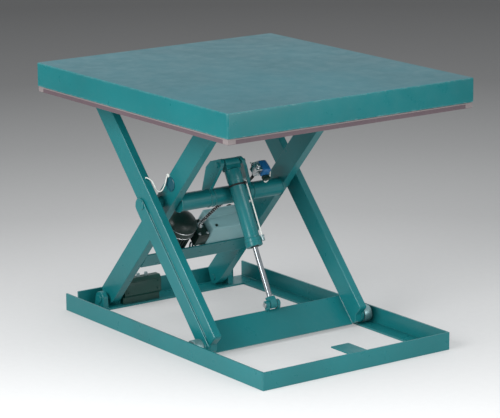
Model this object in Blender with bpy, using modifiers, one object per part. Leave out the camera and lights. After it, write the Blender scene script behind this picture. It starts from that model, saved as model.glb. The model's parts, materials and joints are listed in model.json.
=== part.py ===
"""Scissor lift table: fixed base frame, two pairs of crossed legs, a hydraulic cylinder,
a power unit carried on the inner legs, and a platform with a hanging toe guard.
X runs along the table toward the roller end, Y across it, Z up; the floor is z = 0."""
import math

import bmesh
import bpy
from mathutils import Matrix

GAP = 0.0003                # clearance left between touching pieces
CIRCLE_STEPS = 24           # sides of a turned circle
SHARP_ANGLE = 40            # degrees between faces where smooth shading stops

# Platform
DECK_TOP = 1.092
DECK_THICK = 0.0055
PLATFORM_LENGTH = 1.3757
PLATFORM_WIDTH = 1.1934
PLATFORM_X = 0.0073
SKIRT_DEPTH = 0.0976
SKIRT_THICK = 0.005
GUARD_DROP = 0.024
GUARD_RISE = 0.015
GUARD_INSET = 0.006
GUARD_THICK = 0.004

# Base frame
BASE_LENGTH = 1.4388
BASE_WIDTH = 0.9227
RAIL_HEIGHT = 0.0728
RAIL_THICK = 0.0075
FLANGE_EDGE = 0.3835
REAR_FLANGE_X = -0.604
REAR_WALL_HALF = 0.404

# Scissor geometry in the raised position
PIN_X = -0.652
BASE_PIN_Z = 0.043
HALF_RUN = 0.42955
HALF_SPAN = 0.5
LEG_ANGLE = math.atan2(HALF_SPAN, HALF_RUN)
HALF_ARM = math.hypot(HALF_RUN, HALF_SPAN)
CENTRE_X = PIN_X + HALF_RUN
CENTRE_Z = BASE_PIN_Z + HALF_SPAN
TOP_PIN_Z = BASE_PIN_Z + 2 * HALF_SPAN
ROLLER_X = PIN_X + 2 * HALF_RUN

# Legs: each bar runs a little shallower than the line through its pins
BAR_TILT = math.tan(math.radians(1.73))
OUTER_WIDTH = 0.0925
OUTER_RISE = 0.024
OUTER_FACE = 0.3826
OUTER_THICK = 0.0348
INNER_WIDTH = 0.0934
INNER_RISE = -0.0097
INNER_FACE = 0.2956
INNER_THICK = 0.0387
STIFFENER_THICK = 0.008
PIN_RADIUS = 0.012

BASE_ROLLER_RADIUS = 0.0352
DECK_ROLLER_RADIUS = 0.025
TRACK_THICK = 0.018

# Torque tube, measured from the centre pivot in the inner legs' frame
TUBE_ALONG = 0.042
TUBE_NORMAL = -0.047
TUBE_RADIUS = 0.037

# Hydraulic cylinder
TOP_EYE = (-0.148, 0.680)
ROD_PIN = (0.140, 0.140)
CYLINDER_LENGTH = math.hypot(ROD_PIN[0] - TOP_EYE[0], ROD_PIN[1] - TOP_EYE[1])
CYLINDER_ANGLE = math.atan2(TOP_EYE[1] - ROD_PIN[1], ROD_PIN[0] - TOP_EYE[0])
ROD_RADIUS = 0.0112
BARREL_RADIUS = 0.0315
HEAD_RADIUS = 0.034
BORE_RADIUS = 0.026
BORE_START = 0.050
KNUCKLE_REACH = 0.0307
GLAND_START = 0.331
GLAND_END = 0.365
STROKE = 0.2155
EYE_PIN_RADIUS = 0.011


def clear_scene():
    for obj in list(bpy.data.objects):
        bpy.data.objects.remove(obj, do_unlink=True)


def new_collection(name):
    collection = bpy.data.collections.new(name)
    bpy.context.scene.collection.children.link(collection)
    return collection


clear_scene()
PARTS = new_collection("scissor_lift_table")
GUIDES = new_collection("guides")


# ---------------------------------------------------------------- materials

def material(name, colour, roughness, metallic):
    made = bpy.data.materials.new(name)
    made.use_nodes = True
    shader = made.node_tree.nodes["Principled BSDF"]
    shader.inputs["Base Color"].default_value = (*colour, 1.0)
    shader.inputs["Roughness"].default_value = roughness
    shader.inputs["Metallic"].default_value = metallic
    return made


PAINT = (0.02, 0.22, 0.24)
GUARD_GREY = (0.20, 0.13, 0.15)
STEEL = (0.55, 0.56, 0.57)
BLACK = (0.02, 0.02, 0.022)
FINISHES = {
    "paint": (PAINT, 0.35, 0.0),
    "guard": (GUARD_GREY, 0.45, 0.1),
    "steel": (STEEL, 0.3, 1.0),
    "chrome": ((0.8, 0.8, 0.82), 0.08, 1.0),
    "black": (BLACK, 0.5, 0.0),
    "roller": ((0.5, 0.52, 0.52), 0.4, 0.6),
    "reservoir": ((0.17, 0.36, 0.38), 0.4, 0.0),
    "blue": ((0.01, 0.09, 0.3), 0.35, 0.0),
    "cable": ((0.75, 0.75, 0.72), 0.5, 0.0),
    "rubber": ((0.015, 0.015, 0.015), 0.7, 0.0),
}


def finish(obj, kind):
    colour, roughness, metallic = FINISHES[kind]
    obj.data.materials.clear()
    obj.data.materials.append(material(obj.name + "_" + kind, colour, roughness, metallic))


# ---------------------------------------------------------------- shape helpers

def frame(name, x, z, angle=0.0):
    """Empty on a joint axis; its local X is turned by angle about world Y (down is positive)."""
    empty = bpy.data.objects.new(name, None)
    PARTS.objects.link(empty)
    empty.location = (x, 0.0, z)
    empty.rotation_euler = (0.0, angle, 0.0)
    return empty


def add(name, mesh, parent, kind):
    obj = bpy.data.objects.new(name, mesh)
    PARTS.objects.link(obj)
    obj.parent = parent
    finish(obj, kind)
    return obj


def weld(mesh):
    bm = bmesh.new()
    bm.from_mesh(mesh)
    bmesh.ops.remove_doubles(bm, verts=bm.verts, dist=0.00001)
    bmesh.ops.recalc_face_normals(bm, faces=bm.faces)
    bm.to_mesh(mesh)
    bm.free()


def soften(obj, width, segments=1):
    bevel = obj.modifiers.new("edge", "BEVEL")
    bevel.width = width
    bevel.segments = segments
    bevel.limit_method = "ANGLE"
    bevel.angle_limit = math.radians(50)
    return obj


def box(name, parent, low, high, kind, edge=0.0008):
    bm = bmesh.new()
    bmesh.ops.create_cube(bm, size=1.0)
    size = [b - a for a, b in zip(low, high)]
    middle = [(a + b) / 2 for a, b in zip(low, high)]
    bmesh.ops.scale(bm, vec=size, verts=bm.verts)
    bmesh.ops.translate(bm, vec=middle, verts=bm.verts)
    mesh = bpy.data.meshes.new(name)
    bm.to_mesh(mesh)
    bm.free()
    obj = add(name, mesh, parent, kind)
    if edge:
        soften(obj, edge)
    return obj


def arc(centre, radius, start, end, steps):
    """Points on a circle from start to end degrees, both ends included."""
    points = []
    for i in range(steps + 1):
        angle = math.radians(start + (end - start) * i / steps)
        points.append((centre[0] + radius * math.cos(angle), centre[1] + radius * math.sin(angle)))
    return points


def ring_points(x, y, radius, steps=16):
    return arc((x, y), radius, 0, 360 - 360 / steps, steps - 1)


TO_Y = Matrix(((1, 0, 0, 0), (0, 0, -1, 0), (0, 1, 0, 0), (0, 0, 0, 1)))
TO_X = Matrix(((0, 0, 1, 0), (1, 0, 0, 0), (0, 1, 0, 0), (0, 0, 0, 1)))
TO_Z = Matrix.Identity(4)
TURNS = {"X": TO_X, "Y": TO_Y, "Z": TO_Z}


def plate(name, parent, outline, low, high, kind, across="Y", holes=(), edge=0.001):
    """Flat outline with round holes, extruded from low to high along one axis.
    The outline is (x, z) across Y, (y, z) across X and (x, y) across Z."""
    curve = bpy.data.curves.new(name, "CURVE")
    curve.dimensions = "2D"
    curve.fill_mode = "BOTH"
    curve.extrude = (high - low) / 2
    loops = [outline]
    loops += [ring_points(*hole) for hole in holes]
    for loop in loops:
        spline = curve.splines.new("POLY")
        spline.points.add(len(loop) - 1)
        for point, (u, v) in zip(spline.points, loop):
            point.co = (u, v, 0.0, 1.0)
        spline.use_cyclic_u = True
    guide = bpy.data.objects.new(name + "_guide", curve)
    GUIDES.objects.link(guide)
    mesh = bpy.data.meshes.new_from_object(guide)
    bpy.data.objects.remove(guide, do_unlink=True)
    weld(mesh)
    mesh.transform(TURNS[across])
    shift = {"X": (1, 0, 0), "Y": (0, 1, 0), "Z": (0, 0, 1)}[across]
    middle = (low + high) / 2
    mesh.transform(Matrix.Translation([middle * s for s in shift]))
    obj = add(name, mesh, parent, kind)
    if edge:
        soften(obj, edge)
    return obj


def shade_round(mesh):
    """Smooth shading that keeps real edges sharp."""
    mesh.shade_smooth()
    mesh.set_sharp_from_angle(angle=math.radians(SHARP_ANGLE))


def turned(name, parent, profile, kind, at=(0.0, 0.0, 0.0), along="Y", closed=False):
    """Profile of (radius, height) turned about an axis; a closed profile leaves a bore."""
    bm = bmesh.new()
    verts = [bm.verts.new((radius, 0.0, height)) for radius, height in profile]
    for first, second in zip(verts, verts[1:]):
        bm.edges.new((first, second))
    if closed:
        bm.edges.new((verts[-1], verts[0]))
    mesh = bpy.data.meshes.new(name)
    bm.to_mesh(mesh)
    bm.free()
    obj = add(name, mesh, parent, kind)
    screw = obj.modifiers.new("turn", "SCREW")
    screw.axis = "Z"
    screw.angle = 2 * math.pi
    screw.steps = CIRCLE_STEPS
    screw.render_steps = CIRCLE_STEPS
    screw.use_merge_vertices = True
    screw.merge_threshold = 0.00001
    depsgraph = bpy.context.evaluated_depsgraph_get()
    obj.data = bpy.data.meshes.new_from_object(obj.evaluated_get(depsgraph))
    obj.modifiers.clear()
    shade_round(obj.data)
    obj.location = at
    obj.rotation_euler = {"X": (0, math.pi / 2, 0), "Y": (-math.pi / 2, 0, 0), "Z": (0, 0, 0)}[along]
    return obj


def rod_profile(steps):
    """Profile from the top down of a stepped round bar; steps are (radius, low, high)."""
    ordered = sorted(steps, key=lambda step: -step[2])
    points = [(0.0, ordered[0][2])]
    for radius, low, high in ordered:
        points += [(radius, high), (radius, low)]
    points.append((0.0, ordered[-1][1]))
    return points


def pipe(name, parent, points, radius, kind, resolution=2):
    """Round tube or cable along a smooth run of points, with closed ends."""
    curve = bpy.data.curves.new(name, "CURVE")
    curve.dimensions = "3D"
    curve.bevel_depth = radius
    curve.bevel_resolution = resolution
    curve.use_fill_caps = True
    spline = curve.splines.new("POLY")
    spline.points.add(len(points) - 1)
    for point, place in zip(spline.points, points):
        point.co = (*place, 1.0)
    guide = bpy.data.objects.new(name + "_guide", curve)
    GUIDES.objects.link(guide)
    mesh = bpy.data.meshes.new_from_object(guide)
    bpy.data.objects.remove(guide, do_unlink=True)
    weld(mesh)
    shade_round(mesh)
    return add(name, mesh, parent, kind)


def smooth_run(points, steps):
    """Catmull-Rom run through the points."""
    ends = [points[0]] + list(points) + [points[-1]]
    run = []
    for a, b, c, d in zip(ends, ends[1:], ends[2:], ends[3:]):
        for i in range(steps):
            t = i / steps
            run.append(tuple(
                0.5 * (2 * q + (r - p) * t + (2 * p - 5 * q + 4 * r - s) * t ** 2
                       + (3 * q - p - 3 * r + s) * t ** 3)
                for p, q, r, s in zip(a, b, c, d)))
    run.append(tuple(points[-1]))
    return run


def boolean(obj, cutter, operation):
    step = obj.modifiers.new("shape", "BOOLEAN")
    step.operation = operation
    step.solver = "EXACT"
    step.object = cutter
    PARTS.objects.unlink(cutter)
    GUIDES.objects.link(cutter)
    cutter.hide_render = True
    cutter.display_type = "WIRE"


# ---------------------------------------------------------------- base frame

def base_side_rail(name, side, parent):
    half = BASE_WIDTH / 2
    wall = half - RAIL_THICK
    front = BASE_LENGTH / 2 - RAIL_THICK - GAP
    rear = -BASE_LENGTH / 2
    profile = [(side * half, 0.0), (side * half, RAIL_HEIGHT), (side * wall, RAIL_HEIGHT),
               (side * wall, RAIL_THICK), (side * FLANGE_EDGE, RAIL_THICK), (side * FLANGE_EDGE, 0.0)]
    rail = plate(name, parent, profile, rear, front, "paint", across="X", edge=0)
    inner = sorted((side * (FLANGE_EDGE - 0.02), side * (wall - GAP / 3)))
    notch = box(name + "_notch", parent, (rear - 0.02, inner[0], -0.02),
                (REAR_FLANGE_X + GAP, inner[1], RAIL_THICK + 0.02), "paint", edge=0)
    boolean(rail, notch, "DIFFERENCE")
    return soften(rail, 0.0008)


def base_rear_rail(name, parent):
    rear = -BASE_LENGTH / 2
    wall = rear + RAIL_THICK
    half = BASE_WIDTH / 2 - RAIL_THICK - GAP
    profile = [(rear, 0.0), (rear, RAIL_HEIGHT), (wall, RAIL_HEIGHT), (wall, RAIL_THICK),
               (REAR_FLANGE_X, RAIL_THICK), (REAR_FLANGE_X, 0.0)]
    rail = plate(name, parent, profile, -half, half, "paint", edge=0)
    for side in (-1, 1):
        span = sorted((side * REAR_WALL_HALF, side * (half + 0.02)))
        notch = box(name + ("_notch_left" if side < 0 else "_notch_right"), parent,
                    (rear - 0.02, span[0], RAIL_THICK - GAP / 3), (wall + GAP / 3, span[1], RAIL_HEIGHT + 0.02),
                    "paint", edge=0)
        boolean(rail, notch, "DIFFERENCE")
    return soften(rail, 0.0008)


def pivot_bracket(name, side, parent):
    """Round-topped lug standing on the rear flange outside the inner leg."""
    foot = RAIL_THICK + GAP
    outline = [(PIN_X - 0.040, foot), (PIN_X + 0.034, foot)]
    outline += arc((PIN_X, BASE_PIN_Z), 0.0315, 8, 172, 10)
    low, high = sorted((side * 0.312, side * 0.336))
    holes = [(PIN_X, BASE_PIN_Z, PIN_RADIUS + GAP)]
    return plate(name, parent, outline, low, high, "paint", holes=holes)


def leg_pin(name, side, parent, inner_end, outer_end, x, z):
    """Plain pin with a thin head at its outer end."""
    steps = [(PIN_RADIUS, inner_end, outer_end), (PIN_RADIUS + 0.006, outer_end, outer_end + 0.005)]
    pin = turned(name, parent, rod_profile(steps), "steel", at=(x, 0.0, z))
    if side < 0:
        pin.rotation_euler = (math.pi / 2, 0, 0)
    return pin


def build_base(parent):
    base_side_rail("base_rail_left", -1, parent)
    base_side_rail("base_rail_right", 1, parent)
    base_rear_rail("base_rail_rear", parent)
    half = BASE_WIDTH / 2
    front = BASE_LENGTH / 2
    box("base_rail_front", parent, (front - RAIL_THICK, -half, 0.0), (front, half, RAIL_HEIGHT), "paint")
    tab_back = 0.592
    box("base_front_tab", parent, (tab_back, -0.041, RAIL_HEIGHT - 0.006),
        (front - RAIL_THICK - GAP, 0.047, RAIL_HEIGHT), "paint", edge=0.001)
    for name, side in (("left", -1), ("right", 1)):
        pivot_bracket("base_pivot_bracket_" + name, side, parent)
        leg_pin("base_pivot_pin_" + name, side, parent, 0.2530, 0.3364, PIN_X, BASE_PIN_Z)
    control_box(parent)


def control_box(parent):
    """Chamfered enclosure on a narrow foot that stands on the rear flange."""
    foot = RAIL_THICK + GAP
    outline = [(-0.646, foot), (-0.622, foot), (-0.622, 0.036), (-0.616, 0.036), (-0.606, 0.046),
               (-0.606, 0.104), (-0.618, 0.116), (-0.650, 0.116), (-0.662, 0.104), (-0.662, 0.046),
               (-0.652, 0.036), (-0.646, 0.036)]
    plate("control_box", parent, outline, -0.235, -0.050, "black", edge=0)


# ---------------------------------------------------------------- legs

def leg_edge(rise, half_width, along, tilt):
    """Height of a bar edge above the pin line at a distance from the centre pivot."""
    return rise + tilt * along + half_width


def outer_leg(name, side, parent):
    """Flat bar from the platform's rear pin, through the centre pivot, down to its roller."""
    half = OUTER_WIDTH / 2
    top_end = -HALF_ARM
    foot = HALF_ARM

    def upper(along):
        return leg_edge(OUTER_RISE, half, along, BAR_TILT)

    def lower(along):
        return leg_edge(OUTER_RISE, -half, along, BAR_TILT)

    outline = arc((top_end, 0.0), 0.0215, 100, 215, 7)
    outline += [(top_end + 0.030, lower(top_end + 0.030)), (foot + 0.028, lower(foot + 0.028)),
                (foot + 0.038, 0.008), (foot + 0.036, 0.022), (foot + 0.016, 0.040),
                (foot + 0.012, upper(foot) - 0.006), (foot + 0.006, upper(foot)),
                (top_end + 0.175, upper(top_end + 0.175)), (top_end + 0.015, 0.0405)]
    low, high = sorted((side * (OUTER_FACE - OUTER_THICK), side * OUTER_FACE))
    holes = [(0.0, 0.0, PIN_RADIUS + 0.002 + GAP), (top_end, 0.0, PIN_RADIUS + GAP)]
    return plate(name, parent, outline, low, high, "paint", holes=holes, edge=0.0025)


def leg_stiffener(name, side, parent):
    """Plate on the outer face of an outer leg, from a rounded top at the pivot to the foot."""
    def line(share, along):
        front = leg_edge(OUTER_RISE, OUTER_WIDTH / 2, along, BAR_TILT)
        return front - share * OUTER_WIDTH

    foot = HALF_ARM
    start = -0.004
    middle = (line(0.56, start) + line(1.28, start)) / 2
    radius = (line(0.56, start) - line(1.28, start)) / 2
    outline = arc((start, middle), radius, 90, 270, 10)
    outline += [(foot + 0.010, line(1.28, foot + 0.010)), (foot + 0.026, -0.014),
                (foot + 0.036, 0.004), (foot + 0.034, 0.022), (foot + 0.018, line(0.56, foot + 0.018))]
    low, high = sorted((side * (OUTER_FACE + GAP), side * (OUTER_FACE + STIFFENER_THICK)))
    holes = [(0.0, 0.0, PIN_RADIUS + 0.002 + GAP)]
    return plate(name, parent, outline, low, high, "paint", holes=holes, edge=0.0015)


def inner_leg(name, side, parent):
    """Flat bar from the base's rear pin up to its roller under the platform."""
    half = INNER_WIDTH / 2
    reach = 2 * HALF_ARM

    def upper(along):
        return leg_edge(INNER_RISE, half, along - HALF_ARM, -BAR_TILT)

    def lower(along):
        return leg_edge(INNER_RISE, -half, along - HALF_ARM, -BAR_TILT)

    outline = arc((0.0, 0.0), 0.030, 165, 262, 6)
    outline += [(0.030, lower(0.030)), (reach + 0.014, lower(reach + 0.014)),
                (reach + 0.020, 0.010), (reach + 0.012, upper(reach)), (-0.002, upper(0.0))]
    low, high = sorted((side * (INNER_FACE - INNER_THICK), side * INNER_FACE))
    holes = [(0.0, 0.0, PIN_RADIUS + GAP), (HALF_ARM, 0.0, PIN_RADIUS + 0.002 + GAP),
             (reach, 0.0, PIN_RADIUS - 0.002 + GAP)]
    return plate(name, parent, outline, low, high, "paint", holes=holes, edge=0.0025)


def centre_pin(name, side, parent):
    """Pivot pin with a spacer collar between the legs and a low head outside."""
    radius = PIN_RADIUS + 0.002
    outer = OUTER_FACE + STIFFENER_THICK
    steps = [(radius, INNER_FACE - INNER_THICK, INNER_FACE + GAP),
             (radius + 0.010, INNER_FACE + GAP, OUTER_FACE - OUTER_THICK - GAP),
             (radius, OUTER_FACE - OUTER_THICK - GAP, outer + GAP),
             (radius + 0.005, outer + GAP, outer + 0.004)]
    pin = turned(name, parent, rod_profile(steps), "steel")
    if side < 0:
        pin.rotation_euler = (math.pi / 2, 0, 0)
    return pin


def base_roller_axle(name, side, parent):
    """Boss on the foot of an outer leg with a stub that carries the base roller."""
    face = OUTER_FACE + STIFFENER_THICK
    steps = [(0.033, face + GAP, 0.4040), (PIN_RADIUS, 0.4040, 0.4440), (PIN_RADIUS + 0.004, 0.4440, 0.4475)]
    axle = turned(name, parent, rod_profile(steps), "paint", at=(HALF_ARM, 0.0, 0.0))
    if side < 0:
        axle.rotation_euler = (math.pi / 2, 0, 0)
    return axle


def deck_roller_axle(name, side, parent):
    radius = PIN_RADIUS - 0.002
    steps = [(radius, INNER_FACE - INNER_THICK - 0.002, 0.3385), (radius + 0.004, 0.3385, 0.3415)]
    axle = turned(name, parent, rod_profile(steps), "steel", at=(2 * HALF_ARM, 0.0, 0.0))
    if side < 0:
        axle.rotation_euler = (math.pi / 2, 0, 0)
    return axle


def roller(name, parent, radius, bore, low, high):
    edge = 0.002
    profile = [(radius - edge, high), (radius, high - edge), (radius, low + edge), (radius - edge, low),
               (bore, low), (bore, high)]
    return turned(name, parent, profile, "roller", closed=True)


def torque_tube(parent):
    reach = INNER_FACE - INNER_THICK - GAP
    wall = 0.006
    profile = [(TUBE_RADIUS, reach), (TUBE_RADIUS, -reach), (TUBE_RADIUS - wall, -reach),
               (TUBE_RADIUS - wall, reach)]
    at = (HALF_ARM + TUBE_ALONG, 0.0, TUBE_NORMAL)
    return turned("torque_tube", parent, profile, "paint", at=at, closed=True)


def inner_place(point):
    """World (x, z) point in the inner legs' frame."""
    x, z = point[0] - PIN_X, point[1] - BASE_PIN_Z
    cos, sin = math.cos(LEG_ANGLE), math.sin(LEG_ANGLE)
    return (x * cos + z * sin, z * cos - x * sin)


def outer_place(point):
    """World (x, z) point in the outer legs' frame."""
    x, z = point[0] - CENTRE_X, point[1] - CENTRE_Z
    cos, sin = math.cos(LEG_ANGLE), math.sin(LEG_ANGLE)
    return (x * cos - z * sin, x * sin + z * cos)


def cylinder_lug(name, side, parent):
    """Splayed plate from the torque tube up to the cylinder's top pin."""
    tube = (HALF_ARM + TUBE_ALONG, TUBE_NORMAL)
    eye = inner_place(TOP_EYE)
    outline = arc(tube, TUBE_RADIUS + GAP, 105, 22, 7)
    outline += [(eye[0] + 0.006, eye[1] - 0.027)]
    outline += arc(eye, 0.0225, -50, 75, 6)
    outline += [(eye[0] - 0.030, eye[1] + 0.045), (eye[0] - 0.060, eye[1] + 0.040)]
    holes = [(eye[0], eye[1], EYE_PIN_RADIUS + GAP)]
    lug = plate(name, parent, outline, 0.0372, 0.0532, "paint", holes=holes, edge=0)
    span = math.hypot(eye[0] - tube[0], eye[1] - tube[1])
    ax, az = (eye[0] - tube[0]) / span, (eye[1] - tube[1]) / span
    splay = 0.42
    start = span + 0.024
    offset = splay * (start + ax * tube[0] + az * tube[1])
    shear = Matrix(((1, 0, 0, 0), (-splay * ax, 1, -splay * az, offset), (0, 0, 1, 0), (0, 0, 0, 1)))
    lug.data.transform(shear)
    if side < 0:
        lug.data.transform(Matrix.Diagonal((1, -1, 1, 1)))
        lug.data.flip_normals()
    return lug


def build_inner(parent):
    for name, side in (("left", -1), ("right", 1)):
        inner_leg("inner_leg_" + name, side, parent)
        cylinder_lug("cylinder_lug_" + name, side, parent)
        deck_roller_axle("deck_roller_axle_" + name, side, parent)
    torque_tube(parent)
    eye = inner_place(TOP_EYE)
    steps = [(EYE_PIN_RADIUS, -0.0720, 0.0720)]
    turned("cylinder_top_pin", parent, rod_profile(steps), "steel", at=(eye[0], 0.0, eye[1]))
    inside = INNER_FACE - INNER_THICK - GAP
    angle = [(0.262, -0.047), (0.345, -0.047), (0.345, -0.041), (0.268, -0.041), (0.268, -0.010), (0.262, -0.010)]
    plate("power_unit_bar", parent, angle, -inside, inside, "paint", edge=0)
    box("oil_reservoir", parent, (0.3000, 0.040, -0.0407), (0.446, 0.246, 0.070), "reservoir", edge=0.006)
    box("pump_block", parent, (0.2850, -0.0180, -0.0407), (0.410, 0.0395, 0.050), "black", edge=0.003)
    box("valve_block", parent, (0.794, 0.0865, -0.0420), (0.834, 0.1165, -0.0020), "steel", edge=0.002)
    box("solenoid_coil", parent, (0.7905, 0.1168, -0.0520), (0.8375, 0.1580, 0.0080), "blue", edge=0.006)


def motor(parent):
    """Round motor body with a domed fan cover at its upper end."""
    low, high = 0.2690, 0.456
    radius = 0.066
    profile = [(0.0, high + 0.022), (0.034, high + 0.018), (0.056, high + 0.006), (radius + 0.002, high - 0.014),
               (radius + 0.002, high - 0.050), (radius - 0.005, high - 0.052), (radius - 0.005, low + 0.016),
               (radius, low + 0.014), (radius, low), (0.0, low)]
    return turned("pump_motor", parent, profile, "black", at=(0.0, -0.0860, 0.0260), along="X")


# ---------------------------------------------------------------- outer frame details

def build_outer(parent):
    for name, side in (("left", -1), ("right", 1)):
        outer_leg("outer_leg_" + name, side, parent)
        leg_stiffener("leg_stiffener_" + name, side, parent)
        centre_pin("centre_pin_" + name, side, parent)
        base_roller_axle("base_roller_axle_" + name, side, parent)
    inside = OUTER_FACE - OUTER_THICK - GAP
    tilt = BAR_TILT
    front = -0.0035

    def face(along):
        return front + tilt * (along - 0.558)

    outline = [(0.558, face(0.558)), (0.695, face(0.695)), (0.695, face(0.695) - 0.008),
               (0.558, face(0.558) - 0.008)]
    plate("front_cross_plate", parent, outline, -inside, inside, "paint")
    pin = outer_place(ROD_PIN)
    for name, side in (("left", -1), ("right", 1)):
        ear = [(pin[0] + 0.024, face(pin[0] + 0.024) + GAP), (pin[0] + 0.020, pin[1] + 0.004)]
        ear += arc(pin, 0.0165, 20, 190, 10)
        ear += [(0.5585, face(0.5585) + GAP)]
        low, high = sorted((side * 0.0185, side * 0.0325))
        plate("rod_ear_" + name, parent, ear, low, high, "paint",
              holes=[(pin[0], pin[1], EYE_PIN_RADIUS + GAP)], edge=0)
    steps = [(EYE_PIN_RADIUS, -0.0370, 0.0370)]
    turned("rod_pin", parent, rod_profile(steps), "steel", at=(pin[0], 0.0, pin[1]))


# ---------------------------------------------------------------- cylinder

def cylinder_barrel(parent):
    """Tube closed at the top pin's end, with a thicker upper section and an open bore."""
    profile = [(0.0, BORE_START), (BORE_RADIUS, BORE_START), (BORE_RADIUS, GLAND_START),
               (BARREL_RADIUS, GLAND_START), (BARREL_RADIUS, 0.082), (HEAD_RADIUS, 0.080),
               (HEAD_RADIUS, KNUCKLE_REACH + GAP), (0.0, KNUCKLE_REACH + GAP)]
    return turned("cylinder_barrel", parent, profile, "paint", along="X")


def cylinder_gland(parent):
    bore = ROD_RADIUS + GAP
    profile = [(0.035, GLAND_END), (0.035, GLAND_START + GAP), (bore, GLAND_START + GAP), (bore, GLAND_END)]
    return turned("cylinder_gland", parent, profile, "paint", along="X", closed=True)


def build_cylinder(parent):
    cylinder_barrel(parent)
    cylinder_gland(parent)
    knuckle = arc((0.0, 0.0), 0.0215, 60, 300, 14)
    knuckle += [(KNUCKLE_REACH, -0.020), (KNUCKLE_REACH, 0.020)]
    plate("cylinder_knuckle", parent, knuckle, -0.0345, 0.0345, "paint",
          holes=[(0.0, 0.0, EYE_PIN_RADIUS + GAP)])
    line = [(0.088, 0.0325, 0.0268), (0.330, 0.0305, 0.0290)]
    pipe("cylinder_side_line", parent, line, 0.0030, "cable")


def build_rod(parent):
    """Rod and its open-sided end; the origin sits on the lower pin."""
    piston = BORE_START + 0.003 + STROKE - CYLINDER_LENGTH
    steps = [(ROD_RADIUS, piston + 0.012, -0.0303), (BORE_RADIUS - 0.0015, piston, piston + 0.012)]
    turned("cylinder_rod", parent, rod_profile(steps), "chrome", along="X")
    seat = EYE_PIN_RADIUS + 0.0008
    hook = arc((0.0, 0.0), seat, 160, 0, 11)
    hook += [(0.0190, 0.0)]
    hook += arc((0.0, 0.0), 0.0195, 10, 70, 4)
    hook += [(-0.0130, 0.0185), (-0.0300, 0.0135), (-0.0300, -0.0135), (-0.0218, -0.0135), (-0.0143, -0.0020)]
    plate("rod_end", parent, hook, -0.0145, 0.0145, "paint", edge=0)


# ---------------------------------------------------------------- platform

def build_platform(parent):
    """Everything is measured from the platform's rear pin."""
    rear = PLATFORM_X - PLATFORM_LENGTH / 2 - PIN_X
    front = rear + PLATFORM_LENGTH
    half = PLATFORM_WIDTH / 2
    top = DECK_TOP - TOP_PIN_Z
    under = top - DECK_THICK
    skirt = top - SKIRT_DEPTH
    box("deck_plate", parent, (rear, -half, under), (front, half, top), "paint", edge=0.002)
    for name, side in (("left", -1), ("right", 1)):
        low, high = sorted((side * (half - SKIRT_THICK), side * half))
        box("skirt_" + name, parent, (rear, low, skirt), (front, high, under - GAP), "paint")
    inside = half - SKIRT_THICK - GAP
    box("skirt_rear", parent, (rear, -inside, skirt), (rear + SKIRT_THICK, inside, under - GAP), "paint")
    box("skirt_front", parent, (front - SKIRT_THICK, -inside, skirt), (front, inside, under - GAP), "paint")
    track_top = under - GAP
    track_low = DECK_ROLLER_RADIUS + 0.0004
    for name, side in (("left", -1), ("right", 1)):
        low, high = sorted((side * 0.2985, side * 0.3425))
        box("roller_track_" + name, parent, (0.790, low, track_low),
            (front - SKIRT_THICK - GAP, high, track_top), "paint")
    pivot_beam(parent, under)
    for name, side in (("left", -1), ("right", 1)):
        pin = leg_pin("platform_pin_" + name, side, parent, 0.3160, OUTER_FACE + GAP, 0.0, 0.0)
        pin.location = (0.0, 0.0, 0.0)


def pivot_beam(parent, under):
    """Cross beam under the deck with a hanging lug at each end, made as one weldment."""
    half = 0.344
    lug = 0.026
    thick = 0.012
    radius = 0.0215
    top = under - GAP
    profile = [(-half, -radius), (-half + lug, -radius), (-half + lug, top - thick), (half - lug, top - thick),
               (half - lug, -radius), (half, -radius), (half, top), (-half, top)]
    beam = plate("pivot_beam", parent, profile, -0.0215, 0.0215, "paint", across="X", edge=0)
    bore = turned("pivot_beam_bore", parent, rod_profile([(PIN_RADIUS + GAP, -0.4, 0.4)]), "paint")
    boolean(beam, bore, "DIFFERENCE")
    return beam


def toe_guard(parent):
    """Hanging safety frame, one closed ring of strip below and inside the skirts."""
    rear = PLATFORM_X - PLATFORM_LENGTH / 2 + GUARD_INSET
    front = PLATFORM_X + PLATFORM_LENGTH / 2 - GUARD_INSET
    half = PLATFORM_WIDTH / 2 - GUARD_INSET
    wall = GUARD_THICK
    low = DECK_TOP - SKIRT_DEPTH - GUARD_DROP
    high = DECK_TOP - SKIRT_DEPTH + GUARD_RISE
    outer = [(rear, -half), (front, -half), (front, half), (rear, half)]
    inner = [(rear + wall, -half + wall), (front - wall, -half + wall),
             (front - wall, half - wall), (rear + wall, half - wall)]
    bm = bmesh.new()
    rings = []
    for loop in (outer, inner):
        for z in (low, high):
            rings.append([bm.verts.new((x, y, z)) for x, y in loop])
    outer_low, outer_high, inner_low, inner_high = rings
    for first, second in ((outer_low, outer_high), (inner_high, inner_low), (outer_high, inner_high),
                          (inner_low, outer_low)):
        for i in range(4):
            j = (i + 1) % 4
            bm.faces.new((first[i], first[j], second[j], second[i]))
    bmesh.ops.recalc_face_normals(bm, faces=bm.faces)
    mesh = bpy.data.meshes.new("toe_guard")
    bm.to_mesh(mesh)
    bm.free()
    guard = add("toe_guard", mesh, parent, "guard")
    guard.location = (0.0, 0.0, -parent.location[2])
    return soften(guard, 0.0008)


# ---------------------------------------------------------------- cable and hose

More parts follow.
